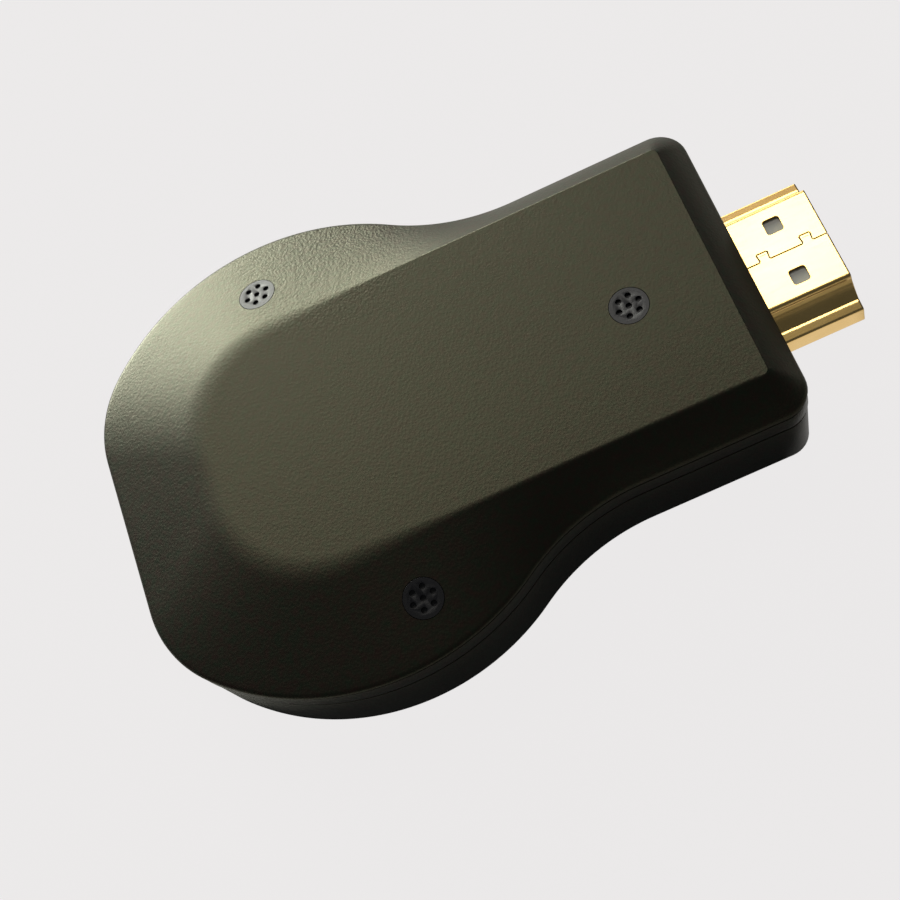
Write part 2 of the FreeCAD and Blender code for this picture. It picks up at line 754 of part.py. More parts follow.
# Power socket
def socket_wire(inset, start):
    """The socket's section across X: a rectangle with its two lower corners cut off."""
    middle = -size("socket_offset")
    half = size("socket_width") / 2 - inset
    top = size("board_bottom") - inset
    bottom = size("board_bottom") - size("socket_thickness") + inset
    cut = size("socket_chamfer") - inset / 2
    points = [(half, top), (half, bottom + cut), (half - cut, bottom), (cut - half, bottom),
              (-half, bottom + cut), (-half, top)]
    loop = [Vector(start, middle + y, z) for y, z in points]
    return Part.makePolygon(loop + loop[:1])


def socket_prism(inset, x_range):
    return Part.Face(socket_wire(inset, x_range[0])).extrude(Vector(x_range[1] - x_range[0], 0, 0))


def add_power_socket():
    front = FLAT_X + size("socket_setback")
    rear = front + size("socket_depth")
    metal = size("socket_sheet")
    shell = socket_prism(0, (front, rear)).cut(socket_prism(metal, (front, rear)))
    feature("power_socket_shell", shell)
    back = rear - size("socket_insert")
    insert = socket_prism(metal, (back, rear))
    half = size("tongue_width") / 2
    middle = -size("socket_offset")
    tongue_top = size("board_bottom") - metal - size("tongue_drop")
    tongue_bottom = tongue_top - size("tongue_thickness")
    tongue_x = (front + size("tongue_setback"), back)
    tongue = box(tongue_x, (middle - half, middle + half), (tongue_bottom, tongue_top))
    feature("power_socket_tongue", insert.fuse(tongue).removeSplitter())
    contacts = []
    feed_x = (front + size("feed_setback"), back)
    feed_z = (tongue_bottom - size("feed_thickness"), tongue_bottom)
    for number in range(FEED_COUNT):
        start = middle + (number - (FEED_COUNT - 1) / 2) * size("feed_pitch") - size("feed_width") / 2
        contacts.append(box(feed_x, (start, start + size("feed_width")), feed_z))
    feature("power_socket_contacts", Part.makeCompound(contacts))


# Mode button, its switch and the status lamp
def add_mode_button():
    """The cap behind its window, its flange inside the wall, the plunger it pushes, and the switch."""
    middle = size("button_offset")
    width, thickness = size("button_width"), size("button_thickness")
    front = FLAT_X + size("button_setback")
    flange = FLAT_X + size("wall_inset") + size("button_gap")
    flange_back = flange + size("flange_thickness")
    cap = box((front, flange), spread(middle, width), spread(SWITCH_Z, thickness))
    front_edges = [edge for edge in cap.Edges if edge.BoundBox.XMax < front + OVERLAP]
    cap = cap.makeFillet(size("button_fillet"), front_edges)
    low, high = spread(SWITCH_Z, thickness)
    flange_z = (low - size("flange_drop"), high + size("flange_rise"))
    flange_width = width + 2 * size("flange_margin")
    plate = box((flange, flange_back), spread(middle, flange_width), flange_z)
    feature("mode_button", cap.fuse(plate).removeSplitter())
    start = flange_back + size("button_travel") + size("button_gap")
    plunger_x = (flange_back, start + size("plunger_length"))
    plunger_z = spread(SWITCH_Z, size("plunger_thickness"))
    feature("switch_plunger", box(plunger_x, spread(middle, size("plunger_width")), plunger_z))
    housing_z = (SWITCH_Z - size("switch_foot"), size("board_bottom"))
    housing = box((start, start + size("switch_length")), spread(middle, size("switch_width")), housing_z)
    bore_y = spread(middle, size("switch_bore_width"))
    bore_z = spread(SWITCH_Z, size("switch_bore_height"))
    feature("switch_housing", housing.cut(box((start, start + size("switch_bore_depth")), bore_y, bore_z)))


def add_status_lamp():
    """The light guide in the wall, and the lamp behind it."""
    middle = -size("lamp_offset")
    inner = FLAT_X + size("wall_inset")
    guide_x = (FLAT_X + size("guide_setback"), inner + size("guide_reach"))
    feature("status_light_guide", along_x(guide_x, (middle, LAMP_Z), size("guide_diameter")))
    lamp_x = (inner + size("lamp_gap"), inner + size("lamp_gap") + size("lamp_thickness"))
    lamp_z = (size("board_bottom") - size("lamp_rise"), size("board_bottom"))
    feature("status_lamp", box(lamp_x, spread(middle, size("lamp_width")), lamp_z))


# Chips and other parts on the board
def add_board_parts():
    top = BOARD_TOP
    chip_middle = HEAD_X + 4.0
    radio_middle = HEAD_X + 19.5
    square = ["dimensions.processor_size"] * 2
    block("processor", (chip_middle, 0), top, *square, "dimensions.processor_thickness", 0.15)
    block("thermal_pad", (chip_middle, 0), top + size("processor_thickness"), "dimensions.processor_size - 1",
          "dimensions.processor_size - 1", "dimensions.pad_thickness")
    for number, side in enumerate((-1, 1), start=1):
        block(f"memory_chip_{number}", (chip_middle, side * 11.6), top, "dimensions.memory_length",
              "dimensions.memory_width", "dimensions.chip_thickness", 0.1)
        block(f"power_inductor_{number}", (HEAD_X - 10.4, side * 8.6 - 0.2),
              size("board_bottom") - size("inductor_height"), "dimensions.inductor_size",
              "dimensions.inductor_size", "dimensions.inductor_height")
    block("flash_chip", (HEAD_X - 11.0, 0), top, "dimensions.flash_length", "dimensions.flash_width",
          "dimensions.chip_thickness", 0.1)
    block("radio_module_board", (radio_middle, 0), top, "dimensions.radio_board_length",
          "dimensions.radio_board_width", "dimensions.radio_board_thickness")
    block("radio_shield_can", (radio_middle, 0), top + size("radio_board_thickness"),
          "dimensions.shield_length", "dimensions.shield_width", "dimensions.shield_height", 0.2)
    block("antenna", (HEAD_X + 30.0, 9.8), top, "dimensions.antenna_length", "dimensions.antenna_width",
          "dimensions.chip_thickness", 0.1)
    block("crystal", (HEAD_X + 13.0, 9.2), top, "dimensions.crystal_length", "dimensions.crystal_width",
          "dimensions.crystal_height", 0.1)
    block("voltage_regulator", (HEAD_X - 12.0, -9.0), top, "dimensions.regulator_size",
          "dimensions.regulator_size", "dimensions.regulator_height", 0.1)


def small_parts(label, places, height):
    """A node of like small parts on the board's top, each a box bound to the same sizes."""
    boxes = []
    for x, y in places:
        item = doc.addObject("Part::Box", "OneOf_" + label)
        item.setExpression("Length", "dimensions.small_length")
        item.setExpression("Width", "dimensions.small_width")
        item.setExpression("Height", f"dimensions.{height}")
        item.Placement = Placement(Vector(HEAD_X + x, y, BOARD_TOP), Rotation())
        boxes.append(item)
    group = doc.addObject("Part::Compound", label)
    group.Links = boxes
    return finished(group, label)


def add_small_parts():
    beside_processor = [-4.6 + 1.8 * number for number in range(3)]
    capacitor_row = [(12.2, -4.0 + 2.0 * number) for number in range(5)]
    resistor_row = [(27.0, -6.0 + 2.4 * number) for number in range(6)]
    small_parts("capacitors", capacitor_row + [(x, -7.7) for x in beside_processor], "capacitor_height")
    small_parts("resistors", resistor_row + [(x, 6.7) for x in beside_processor], "resistor_height")


def spreader_shape():
    start = HEAD_X + size("spreader_start")
    top = SPREADER_Z + size("spreader_thickness")
    end = start + size("spreader_length")
    plate = box((start, end), spread(0, size("spreader_width")), (SPREADER_Z, top))
    upright_edges = [edge for edge in plate.Edges if edge.BoundBox.ZLength > OVERLAP]
    plate = plate.makeChamfer(size("spreader_corner"), upright_edges)
    for place in PIN_PLACES:
        plate = plate.cut(upright(place, size("pin_diameter") + size("fit_gap"), SPREADER_Z, top))
    return plate


# Assembly
cover_outside = top_cover_outer()
feature("top_cover", top_cover_shape(cover_outside))
feature("bottom_cover", bottom_cover_shape())
for where in VENTS:
    vent_disc(where, cover_outside)
feature("circuit_board", board_shape())
for index, spot in enumerate(SCREW_PLACES, start=1):
    screw(f"board_screw_{index}", spot)
feature("video_plug_shell", plug_shell_shape())
feature("video_plug_core", plug_core_shape())
contact_row("upper_contacts", 1)
contact_row("lower_contacts", -1)
add_power_socket()
add_mode_button()
add_status_lamp()
add_board_parts()
add_small_parts()
feature("heat_spreader", spreader_shape())
doc.recompute()

# Check and write
for item in doc.Objects:
    if "Invalid" in item.State or "Error" in item.State:
        raise ValueError(f"{item.Label} failed")
for item in sub_parts:
    if item.Shape.isNull() or not item.Shape.isValid():
        raise ValueError(f"the shape of {item.Label} is not valid")

os.makedirs("parts", exist_ok=True)
for item in sub_parts:
    item.Shape.exportStep(f"parts/{item.Label}.step")
    bounds = item.Shape.BoundBox
    print(f"{item.Label}: {len(item.Shape.Solids)} solid(s), {item.Shape.Volume:.2f} mm3,"
          f" x {bounds.XMin:.2f} {bounds.XMax:.2f} y {bounds.YMin:.2f} {bounds.YMax:.2f}"
          f" z {bounds.ZMin:.2f} {bounds.ZMax:.2f}")
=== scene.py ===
# Wireless display dongle: smooth moulded covers, vent discs and a gold-plated plug around the frame.
import json
import math

import bpy
from mathutils import Matrix, Vector


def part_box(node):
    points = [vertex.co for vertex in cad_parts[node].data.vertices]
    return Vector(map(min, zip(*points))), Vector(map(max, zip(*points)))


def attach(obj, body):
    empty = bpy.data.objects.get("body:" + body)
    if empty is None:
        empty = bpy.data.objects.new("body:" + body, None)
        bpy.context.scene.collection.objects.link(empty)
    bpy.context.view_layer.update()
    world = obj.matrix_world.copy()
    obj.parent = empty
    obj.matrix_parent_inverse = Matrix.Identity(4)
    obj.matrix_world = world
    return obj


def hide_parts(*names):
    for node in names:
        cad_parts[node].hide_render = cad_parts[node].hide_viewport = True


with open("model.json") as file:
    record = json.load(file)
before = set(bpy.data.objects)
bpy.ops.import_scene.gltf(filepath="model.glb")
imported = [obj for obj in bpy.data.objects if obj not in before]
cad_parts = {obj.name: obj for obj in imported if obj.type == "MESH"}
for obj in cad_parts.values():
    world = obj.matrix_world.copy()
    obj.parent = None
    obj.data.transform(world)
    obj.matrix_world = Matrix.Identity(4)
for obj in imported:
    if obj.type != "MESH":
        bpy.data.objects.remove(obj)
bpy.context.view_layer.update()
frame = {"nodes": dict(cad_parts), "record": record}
NODES = frame["nodes"]
MM = 0.001

# Sizes of the case in millimetres, read from the frame where a node gives them
TOP_LOW, TOP_HIGH = [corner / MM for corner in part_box("top_cover")]
FLAT_X = TOP_LOW.x
NOSE_X = TOP_HIGH.x
TOP_Z = TOP_HIGH.z
HEAD_RADIUS = TOP_HIGH.y
HEAD_SETBACK = 19.0
HEAD_X = FLAT_X + HEAD_SETBACK
SEAM_Z = 8.8
CREASE_Z = 9.2
STEP_Z = 6.7
FLAT_CORNER = 11.0
BODY_HALF = 14.95
NECK_RADIUS = 19.6
NOSE_CORNER = 2.7
LEAST_CORNER = 0.3

# The raised plateau, from its round end to the nose
PLATEAU_HALF = 11.95
PLATEAU_END_X = HEAD_X - 10.1
PLATEAU_SHOULDER_X = HEAD_X + 11.0
PLATEAU_NECK_X = HEAD_X + 22.5
PLATEAU_NOSE_X = HEAD_X + 36.3
PLATEAU_END_CORNER = 9.4
PLATEAU_NOSE_CORNER = 0.6
PLATEAU_LEAST_CORNER = 0.1

# The swell of the top cover's sides and the roundings of its edges. A range is where along X one changes,
# from the head's centre or, for the nose, from the plateau's nose
SIDE_SWELL = 0.1
SWELL_RANGE = (2.0, 14.0)
RIM_ROUND = 0.45
RIM_DROP = 0.28
HEAD_EDGE_ROUND = 1.35
FAR_EDGE_ROUND = 0.1
NEAR_EDGE_ROUND = 0.32
NOSE_EDGE_ROUND = 0.06
SIDE_EDGE_RANGE = (-6.0, 12.0)
NOSE_EDGE_RANGE = (-1.2, 0.0)

# The edge's rounding takes no more than this share of the slope's length
ROUND_SHARE = 0.45

# Walls of the top cover: its roof, the skirt's foot and the lip under it, as insets, heights and depths
ROOF_INSET = 1.2
ROOF_THICKNESS = 1.3
SKIRT_INSET = 0.08
LIP_ROOT = 1.55
LIP_OUTSIDE = 1.6
LIP_INSIDE = 2.25
LIP_DEPTH = 1.0

# Walls of the bottom cover, in the same way
FOOT_INSET = 0.5
FOOT_ROUND = 0.42
WALL_INSET = 0.2
STEP_GROOVE = 0.6
STEP_GROOVE_HEIGHT = 0.30
BAND_INSET = 0.12
SEAM_GROOVE = 0.66
SEAM_GROOVE_HEIGHT = 0.34
SEAM_GAP = 0.03
REBATE_INSET = 1.45
REBATE_DEPTH = 1.1
WALL_INSIDE = 2.0
FLOOR_THICKNESS = 1.4

# Vent discs and the recesses that hold them
VENT_RADIUS = 1.75
RECESS_DEPTH = 2.0
DISC_RADIUS = 1.72
DISC_FACE_RADIUS = 1.50
DISC_CHAMFER = 0.03
DISC_DEPTH = 0.9
VENT_HOLE_RADIUS = 0.27
VENT_HOLE_DEPTH = 0.3
VENT_RING = 0.98
VENT_TURN = math.radians(13.0)


# Meshes
def deselect():
    bpy.ops.object.select_all(action="DESELECT")


def activate(piece):
    deselect()
    piece.select_set(True)
    bpy.context.view_layer.objects.active = piece


def select_vertices(piece, chosen):
    """Select some vertices of a mesh and nothing else."""
    mesh = piece.data
    for group in (mesh.vertices, mesh.edges, mesh.polygons):
        group.foreach_set("select", [False] * len(group))
    for number in chosen:
        mesh.vertices[number].select = True


def skin(name, rings, closed=False):
    """A skin over rings of points in millimetres: one circle, extruded once for each further ring."""
    count = len(rings[0])
    deselect()
    bpy.ops.mesh.primitive_circle_add(vertices=count, radius=1.0)
    piece = bpy.context.object
    piece.name = name
    piece.data.name = name
    first = piece.data.vertices[0].co
    start = math.atan2(first.y, first.x)
    bpy.ops.object.mode_set(mode="EDIT")
    bpy.ops.mesh.select_mode(type="VERT")
    bpy.ops.mesh.select_all(action="SELECT")
    for _ in rings[1:]:
        bpy.ops.mesh.extrude_region_move(TRANSFORM_OT_translate={"value": (0, 0, 1)})
    bpy.ops.object.mode_set(mode="OBJECT")
    ends = {0: [], len(rings) - 1: []}
    for vertex in piece.data.vertices:
        row = round(vertex.co.z)
        place = round((math.atan2(vertex.co.y, vertex.co.x) - start) / math.tau * count) % count
        vertex.co = Vector(rings[row][place]) * MM
        if row in ends:
            ends[row].append(vertex.index)
    if closed:
        select_vertices(piece, ends[0] + ends[len(rings) - 1])
        bpy.ops.object.mode_set(mode="EDIT")
        bpy.ops.mesh.bridge_edge_loops()
        bpy.ops.object.mode_set(mode="OBJECT")
    else:
        for chosen in ends.values():
            select_vertices(piece, chosen)
            bpy.ops.object.mode_set(mode="EDIT")
            bpy.ops.mesh.edge_face_add()
            bpy.ops.object.mode_set(mode="OBJECT")
    bpy.ops.object.mode_set(mode="EDIT")
    bpy.ops.mesh.select_all(action="SELECT")
    bpy.ops.mesh.normals_make_consistent(inside=False)
    bpy.ops.object.mode_set(mode="OBJECT")
    if enclosed_volume(piece) < 0:
        bpy.ops.object.mode_set(mode="EDIT")
        bpy.ops.mesh.flip_normals()
        bpy.ops.object.mode_set(mode="OBJECT")
    return piece


def enclosed_volume(piece):
    """The volume inside a closed mesh: negative where its faces look inwards."""
    mesh = piece.data
    mesh.calc_loop_triangles()
    total = 0.0
    for triangle in mesh.loop_triangles:
        first, second, third = [mesh.vertices[number].co for number in triangle.vertices]
        total += first.dot(second.cross(third)) / 6
    return total


def smooth(piece, angle):
    activate(piece)
    bpy.ops.object.shade_smooth_by_angle(angle=math.radians(angle))
    return piece


def combine(piece, others, operation):
    """Work closed shapes into a piece one by one, and remove them."""
    for other in others:
        activate(piece)
        boolean = piece.modifiers.new("Boolean", "BOOLEAN")
        boolean.operation = operation
        boolean.solver = "MANIFOLD"
        boolean.object = other
        bpy.ops.object.modifier_apply(modifier=boolean.name)
        bpy.data.objects.remove(other)
    return piece


def cut(piece, *cutters):
    return combine(piece, cutters, "DIFFERENCE")


def fuse(piece, *others):
    return combine(piece, others, "UNION")


def soften(piece, width, segments, angle):
    """Round a piece's sharp edges."""
    activate(piece)
    bevel = piece.modifiers.new("Soften", "BEVEL")
    bevel.width = width * MM
    bevel.segments = segments
    bevel.limit_method = "ANGLE"
    bevel.angle_limit = math.radians(angle)
    bpy.ops.object.modifier_apply(modifier=bevel.name)
    return piece


def rounded_box(name, low, high, corner, axis="X", segments=4):
    """A box from one corner to the other, in millimetres, its edges along one axis rounded."""
    deselect()
    middle = [(a + b) / 2 * MM for a, b in zip(low, high)]
    bpy.ops.mesh.primitive_cube_add(size=1.0, location=middle)
    piece = bpy.context.object
    piece.name = name
    piece.scale = [(b - a) * MM for a, b in zip(low, high)]
    bpy.ops.object.transform_apply(location=True, rotation=True, scale=True)
    along = "XYZ".index(axis)
    activate(piece)
    bpy.ops.object.mode_set(mode="EDIT")
    bpy.ops.mesh.select_mode(type="EDGE")
    bpy.ops.mesh.select_all(action="DESELECT")
    bpy.ops.object.mode_set(mode="OBJECT")
    for edge in piece.data.edges:
        ends = [piece.data.vertices[number].co for number in edge.vertices]
        edge.select = abs(ends[0][along] - ends[1][along]) > 1e-7
    bpy.ops.object.mode_set(mode="EDIT")
    bpy.ops.mesh.bevel(offset=corner * MM, segments=segments, affect="EDGES")
    bpy.ops.object.mode_set(mode="OBJECT")
    return piece


def cylinder(name, centre, radius, depth, vertices):
    deselect()
    bpy.ops.mesh.primitive_cylinder_add(
        vertices=vertices, radius=radius * MM, depth=depth * MM, location=[value * MM for value in centre])
    piece = bpy.context.object
    piece.name = name
    bpy.ops.object.transform_apply(location=True, rotation=True, scale=True)
    return piece


# Outlines of the case: points in plan, the same number for every inset
EDGE_STEPS = {
    "flat": 6,
    "corner": 16,
    "head": 36,
    "shoulder": 28,
    "neck": 28,
    "side": 12,
    "nose corner": 10,
    "nose": 6,
}


def spread(start, end, steps):
    """Evenly spaced values from a start up to, and without, an end."""
    return [start + (end - start) * number / steps for number in range(steps)]


def arc_points(centre, radius, start, end, steps):
    angles = spread(start, end, steps)
    return [(centre[0] + radius * math.cos(turn), centre[1] + radius * math.sin(turn)) for turn in angles]


def line_points(start, end, steps):
    return list(zip(spread(start[0], end[0], steps), spread(start[1], end[1], steps)))


def whole_loop(upper, nose_x):
    """Close a loop from its upper half, which runs from the far end to the middle of the nose."""
    lower = [(x, -y) for x, y in reversed(upper[1:])]
    return upper + [(nose_x, 0.0)] + lower


# Centres of the outline's arcs: they stay where they are when the outline moves inwards
CORNER_X = FLAT_X + FLAT_CORNER
CORNER_Y = math.sqrt((HEAD_RADIUS - FLAT_CORNER) ** 2 - (HEAD_SETBACK - FLAT_CORNER) ** 2)
CORNER_TURN = math.atan2(CORNER_Y, CORNER_X - HEAD_X)
NECK_Y = BODY_HALF + NECK_RADIUS
NECK_X = HEAD_X + math.sqrt((HEAD_RADIUS + NECK_RADIUS) ** 2 - NECK_Y ** 2)
NECK_TURN = math.atan2(NECK_Y, NECK_X - HEAD_X)


def keyhole(inset):
    """The case's outline, moved inwards by an inset."""
    head = HEAD_RADIUS - inset
    half = BODY_HALF - inset
    nose_corner = max(NOSE_CORNER - inset, LEAST_CORNER)
    flat = FLAT_X + inset
    nose = NOSE_X - inset
    centre = (nose - nose_corner, half - nose_corner)
    neck = NECK_RADIUS + inset
    steps = EDGE_STEPS
    upper = line_points((flat, 0), (flat, CORNER_Y), steps["flat"])
    upper += arc_points((CORNER_X, CORNER_Y), FLAT_CORNER - inset, math.pi, CORNER_TURN, steps["corner"])
    upper += arc_points((HEAD_X, 0), head, CORNER_TURN, math.pi / 2, steps["head"])
    upper += arc_points((HEAD_X, 0), head, math.pi / 2, NECK_TURN, steps["shoulder"])
    upper += arc_points((NECK_X, NECK_Y), neck, NECK_TURN + math.pi, 1.5 * math.pi, steps["neck"])
    upper += line_points((NECK_X, half), (nose - nose_corner, half), steps["side"])
    upper += arc_points(centre, nose_corner, math.pi / 2, 0, steps["nose corner"])
    upper += line_points((nose, half - nose_corner), (nose, 0), steps["nose"])
    return whole_loop(upper, nose)


def plateau(inset):
    """The raised plateau's outline, point for point beside the case's outline."""
    half = PLATEAU_HALF - inset
    nose = PLATEAU_NOSE_X - inset
    end = PLATEAU_END_X + inset
    corner = PLATEAU_END_CORNER - inset
    nose_corner = max(PLATEAU_NOSE_CORNER - inset / 2, PLATEAU_LEAST_CORNER)
    middle = (end + corner, half - corner)
    centre = (nose - nose_corner, half - nose_corner)
    steps = EDGE_STEPS
    upper = line_points((end, 0), (end, half - corner), steps["flat"])
    upper += arc_points(middle, corner, math.pi, CORNER_TURN, steps["corner"])
    upper += arc_points(middle, corner, CORNER_TURN, math.pi / 2, steps["head"])
    upper += line_points((end + corner, half), (PLATEAU_SHOULDER_X, half), steps["shoulder"])
    upper += line_points((PLATEAU_SHOULDER_X, half), (PLATEAU_NECK_X, half), steps["neck"])
    upper += line_points((PLATEAU_NECK_X, half), (nose - nose_corner, half), steps["side"])
    upper += arc_points(centre, nose_corner, math.pi / 2, 0, steps["nose corner"])
    upper += line_points((nose, half - nose_corner), (nose, 0), steps["nose"])
    return whole_loop(upper, nose)


def level(outline, height):
    return [(x, y, height) for x, y in outline]


def profile_rings(profile):
    """Rings of the case's outline for a list of insets and heights."""
    return [level(keyhole(inset), height) for inset, height in profile]


def bend(start, corner, end, steps):
    """Points of a curve that leaves out its end, drawn towards the corner between start and end."""
    return [start.lerp(corner, share).lerp(corner.lerp(end, share), share) for share in spread(0, 1, steps)]


def fillet(before, corner, after, radius, steps):
    """Points of a rounded corner of a profile, between two straight runs."""
    corner = Vector(corner)
    start = corner + (Vector(before) - corner).normalized() * radius
    end = corner + (Vector(after) - corner).normalized() * radius
    return [tuple(point) for point in bend(start, corner, end, steps) + [end]]


def ease(value, start, end):
    """A smooth step from 0 at the start to 1 at the end."""
    share = min(max((value - start) / (end - start), 0.0), 1.0)
    return share * share * (3 - 2 * share)


# Top cover
def edge_round(x, y):
    """How far the plateau's edge is rounded: most round the head, less along the sides, least at the nose."""
    side = FAR_EDGE_ROUND if y > 0 else NEAR_EDGE_ROUND
    side += (NOSE_EDGE_ROUND - side) * ease(x - PLATEAU_NOSE_X, *NOSE_EDGE_RANGE)
    return HEAD_EDGE_ROUND + (side - HEAD_EDGE_ROUND) * ease(x - HEAD_X, *SIDE_EDGE_RANGE)


def slope_rings(rim, top):
    """Rings from the skirt over the slope on to the plateau, rounded at the rim and at the plateau's edge."""
    columns = []
    for rim_point, top_point in zip(rim, top):
        corner = Vector(rim_point)
        edge = Vector(top_point)
        slope = edge - corner
        inward = Vector((slope.x, slope.y, 0)).normalized()
        outward = Vector((-inward.x, -inward.y, 1.0)).normalized()
        swell = outward * SIDE_SWELL * ease(rim_point[0] - HEAD_X, *SWELL_RANGE)
        reach = min(edge_round(*top_point[:2]), slope.length * ROUND_SHARE)
        start = corner - Vector((0, 0, RIM_DROP))
        landing = corner + slope.normalized() * RIM_ROUND
        takeoff = edge - slope.normalized() * reach
        rest = edge + inward * reach
        column = bend(start, corner, landing, 7)
        for share in spread(0, 1, 8):
            column.append(landing.lerp(takeoff, share) + swell * share * (1 - share) * 4)
        column += bend(takeoff, edge, rest, 10)
        column.append(rest)
        columns.append(column)
    return [[tuple(column[number]) for column in columns] for number in range(len(columns[0]))]


def make_top_cover():
    """One closed moulding: roof, slopes, rim and the lip that goes down inside the bottom cover."""
    inside = [
        level(plateau(ROOF_INSET), TOP_Z - ROOF_THICKNESS),
        level(keyhole(LIP_INSIDE), SEAM_Z + 0.2),
        level(keyhole(LIP_INSIDE), SEAM_Z - LIP_DEPTH),
        level(keyhole(LIP_OUTSIDE), SEAM_Z - LIP_DEPTH),
        level(keyhole(LIP_ROOT), SEAM_Z),
    ]
    skirt = profile_rings(fillet((LIP_ROOT, SEAM_Z), (SKIRT_INSET, SEAM_Z), (0.0, CREASE_Z), 0.1, 3))
    outside = slope_rings(level(keyhole(0), CREASE_Z), level(plateau(0), TOP_Z))
    return skin("top_cover_moulding", inside + skirt + outside)


# Bottom cover
def make_bottom_cover():
    """One closed moulding: floor, drafted wall, step and the band under the seam."""
    under_step = STEP_Z - STEP_GROOVE_HEIGHT
    under_seam = SEAM_Z - SEAM_GROOVE_HEIGHT
    rebate = SEAM_Z - REBATE_DEPTH
    # Each point is an inset from the case's outline and a height
    foot = [(1.4, 0.0)] + fillet((1.4, 0.0), (FOOT_INSET, 0.0), (0.42, 3.0), FOOT_ROUND, 5)
    wall = fillet((0.32, 3.0), (WALL_INSET, under_step - 0.02), (STEP_GROOVE, under_step), 0.08, 3)
    wall += [(STEP_GROOVE, under_step), (STEP_GROOVE, STEP_Z + 0.04)]
    band = fillet((STEP_GROOVE, STEP_Z + 0.04), (BAND_INSET, STEP_Z + 0.05), (BAND_INSET, SEAM_Z), 0.08, 3)
    band += fillet((BAND_INSET, STEP_Z), (BAND_INSET, under_seam - 0.02), (SEAM_GROOVE, under_seam), 0.1, 3)
    band += [(SEAM_GROOVE, under_seam), (SEAM_GROOVE, SEAM_Z - SEAM_GAP)]
    inside = [
        (REBATE_INSET, SEAM_Z - SEAM_GAP),
        (REBATE_INSET, rebate),
        (WALL_INSIDE, rebate),
        (WALL_INSIDE, FLOOR_THICKNESS + 0.5),
        (WALL_INSIDE + 0.4, FLOOR_THICKNESS),
    ]
    return skin("bottom_cover_moulding", profile_rings(foot + wall + band + inside))


top_cover = make_top_cover()
bottom_cover = make_bottom_cover()


# Vent discs
def surface_under(piece, place):
    """The place and the normal of a piece's surface, looked at from high above."""
    bpy.context.view_layer.update()
    above = Vector((place.x, place.y, 1.0))
    _, spot, normal, _ = piece.ray_cast(above, Vector((0, 0, -1)))
    return spot, normal


def vent_matrix(spot, normal):
    turn = Vector((0, 0, 1)).rotation_difference(normal).to_matrix().to_4x4()
    return Matrix.Translation(spot) @ turn @ Matrix.Rotation(VENT_TURN, 4, "Z")


def make_vent_disc(name, place):
    """A flat disc with one blind hole in its middle and six round it, set flush in the cover."""
    section = [
        (DISC_RADIUS, -DISC_DEPTH),
        (DISC_RADIUS, -DISC_CHAMFER),
        (DISC_RADIUS - DISC_CHAMFER, 0.0),
        (DISC_FACE_RADIUS, 0.0),
    ]
    rings = [level(arc_points((0, 0), radius, 0, math.tau, 64), height) for radius, height in section]
    disc = skin(name, rings)
    centres = [(0, 0, 0)]
    for number in range(6):
        turn = number * math.pi / 3
        centres.append((VENT_RING * math.cos(turn), VENT_RING * math.sin(turn), 0))
    cut(disc, *[cylinder("hole", centre, VENT_HOLE_RADIUS, VENT_HOLE_DEPTH * 2, 24) for centre in centres])
    soften(disc, 0.02, 2, 50.0)
    disc.data.transform(place)
    return smooth(disc, 40.0)


vent_discs = []
for side in ("far", "nose", "near"):
    low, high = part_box("vent_disc_" + side)
    spot, normal = surface_under(top_cover, (low + high) / 2)
    place = vent_matrix(spot, normal)
    recess = cylinder("recess", (0, 0, 0), VENT_RADIUS, RECESS_DEPTH * 2, 64)
    recess.data.transform(place)
    cut(top_cover, recess)
    disc = make_vent_disc("vent_dish_" + side, place)
    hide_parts("vent_disc_" + side)
    vent_discs.append(disc)


# Openings of the bottom cover
PLUG_LOW, PLUG_HIGH = [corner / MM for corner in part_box("video_plug_shell")]
CAP_LOW, CAP_HIGH = [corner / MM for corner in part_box("mode_button")]
PLUG_GAP = 0.1
SLOT_LENGTH = 3.2
WALL_THROUGH = (FLAT_X - 1.0, FLAT_X + 2.6)
# The button's cap is smaller than the flange behind it, and its window leaves a gap all round
CAP_Y = (CAP_LOW.y + 0.5, CAP_HIGH.y - 0.5)
CAP_Z = (CAP_LOW.z + 0.25, CAP_HIGH.z - 0.15)
CAP_GAP = 0.15


def window(low, high, corner):
    """A rounded window from one corner to the other in Y and Z that runs out through the far wall."""
    return rounded_box("window", (WALL_THROUGH[0], *low), (WALL_THROUGH[1], *high), corner)


def window_round(node, gap, corner):
    """A window that leaves a gap round a node."""
    low, high = [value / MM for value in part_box(node)]
    return window((low.y - gap, low.z - gap), (high.y + gap, high.z + gap), corner)


nose_slot = rounded_box("nose_slot", (NOSE_X - SLOT_LENGTH, PLUG_LOW.y - PLUG_GAP, PLUG_LOW.z - PLUG_GAP),
                        (NOSE_X + 1.0, PLUG_HIGH.y + PLUG_GAP, SEAM_Z + 1.0), 0.3)
socket_window = window_round("power_socket_shell", 0.18, 0.7)
lamp_window = window_round("status_light_guide", 0.04, 0.78)
button_window = window((CAP_Y[0] - CAP_GAP, CAP_Z[0] - CAP_GAP),
                       (CAP_Y[1] + CAP_GAP, CAP_Z[1] + CAP_GAP), 0.5)
cut(bottom_cover, nose_slot, socket_window, lamp_window, button_window)
smooth(top_cover, 30.0)
smooth(bottom_cover, 30.0)
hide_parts("top_cover")
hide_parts("bottom_cover")


# Folded sheet
SHEET = 0.3
CORNER_HOLD = 0.06
MOUTH_ROUND = 0.08
MOUTH_HOLD = 0.14


